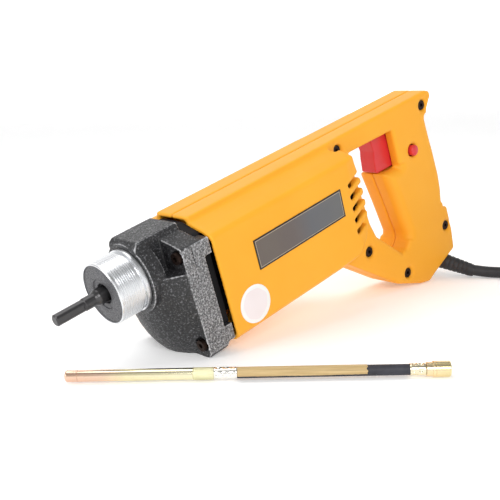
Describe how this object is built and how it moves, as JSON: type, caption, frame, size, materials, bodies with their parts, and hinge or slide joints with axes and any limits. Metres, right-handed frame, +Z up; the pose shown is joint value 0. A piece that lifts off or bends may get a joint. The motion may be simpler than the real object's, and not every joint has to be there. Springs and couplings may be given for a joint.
{
  "type": "concrete vibrator",
  "caption": "Hand-held electric concrete vibrator: motor unit with a D-handle, trigger, threaded coupling collar and drive shaft, mains cord, and a detached poker.",
  "frame": {"origin": "centre of the chin flat under the gear case, on the bench that the tool stands on", "axes": "+Z up; +X from the drive shaft towards the handle, level; +Y to the operator's right, so the operator's left side faces -Y"},
  "size_m": [0.5737, 0.3332, 0.174],
  "materials": {
    "orange_shell": "satin moulded ABS",
    "casting_paint": "hammered black paint",
    "machined_aluminium": "turned",
    "grey_disc": "sintered grey",
    "black_plastic": "fine grain",
    "red_plastic": "semi-gloss",
    "dark_steel": "oiled",
    "bright_steel": "ground",
    "copper": "enamelled copper",
    "carbon": "carbon block",
    "brass": "yellow zinc plated",
    "ferrule_steel": "pale zinc plated",
    "black_rubber": "matt",
    "plate_film": "printed film, plain",
    "badge_film": "printed film, plain",
    "tan_sleeve": "wrapped tape",
    "wire_blue": "insulated wire",
    "film_yellow": "film capacitor"
  },
  "bodies": {
    "root": {"shell_left": "orange_shell", "shell_right": "orange_shell", "shell_screws": "bright_steel", "gear_case": "casting_paint", "case_screws": "bright_steel", "bearing_plate": "black_plastic", "coupling_collar": "machined_aluminium", "nose_disc": "grey_disc", "shaft_seal": "black_rubber", "nameplate": "plate_film", "badge": "badge_film", "output_front_bearing": "bright_steel", "output_rear_bearing": "brass", "armature_front_bearing": "bright_steel", "armature_rear_bearing": "bright_steel", "stator_core": "bright_steel", "stator_windings": "copper", "fan_baffle": "black_plastic", "brush_holders": "brass", "carbon_brushes": "carbon", "brush_springs": "bright_steel", "trigger_spring": "bright_steel", "switch_body": "black_plastic", "lock_spring": "bright_steel", "capacitor": "film_yellow", "lead_wires": "wire_blue", "cord_clamp": "black_plastic", "clamp_screws": "bright_steel", "strain_relief": "black_rubber", "cord_tube": "black_rubber", "cord_coil": "black_rubber", "coil_tie": "black_rubber", "plug_body": "black_rubber", "plug_pins": "bright_steel"},
    "output": {"output_shaft": "dark_steel", "output_gear": "bright_steel"},
    "armature": {"armature_shaft": "bright_steel", "armature_core": "bright_steel", "armature_windings": "copper", "commutator": "copper", "cooling_fan": "black_plastic", "pinion": "dark_steel"},
    "trigger": {"trigger": "red_plastic"},
    "lock_button": {"lock_button": "red_plastic"},
    "poker": {"poker_tip": "brass", "poker_tube": "brass", "poker_ring": "brass", "front_ferrule": "ferrule_steel", "hose": "black_rubber", "hose_sleeve": "tan_sleeve", "rear_ferrule": "ferrule_steel", "poker_bearings": "dark_steel"},
    "poker_rotor": {"drive_core": "dark_steel", "eccentric_rotor": "bright_steel"},
    "poker_nut": {"coupling_nut": "brass"}
  },
  "joints": [
    {"name": "output_spin", "type": "hinge", "parent": "root", "child": "output", "pos_m": [-0.02423, 0, 0.06275], "axis": [0.9613, 0, 0.2756], "continuous": true},
    {"name": "armature_spin", "type": "hinge", "parent": "root", "child": "armature", "pos_m": [0.05928, 0, 0.06173], "axis": [0.9613, 0, 0.2756], "continuous": true},
    {"name": "trigger_pull", "type": "slide", "parent": "root", "child": "trigger", "axis": [0.9613, 0, 0.2756], "range_m": [0, 0.006], "stiffness_N_per_m": 900, "springref_m": -0.003, "deforming": ["trigger_spring"]},
    {"name": "lock_press", "type": "slide", "parent": "root", "child": "lock_button", "axis": [0, 1, 0], "range_m": [0, 0.0025], "stiffness_N_per_m": 400, "springref_m": -0.002, "deforming": ["lock_spring"]},
    {"name": "poker_lift", "type": "slide", "parent": "root", "child": "poker", "axis": [0, 0, 1], "range_m": [0, 0.05]},
    {"name": "poker_core_spin", "type": "hinge", "parent": "poker", "child": "poker_rotor", "pos_m": [-0.03364, -0.06502, 0.00517], "axis": [0.7314, -0.682, 0], "continuous": true},
    {"name": "coupling_nut_spin", "type": "hinge", "parent": "poker", "child": "poker_nut", "pos_m": [0.07738, -0.16854, 0.00517], "axis": [0.7314, -0.682, 0], "continuous": true}
  ],
  "couplings": [
    {"joint": "output_spin", "follows": "armature_spin", "ratio": -0.37143}
  ]
}
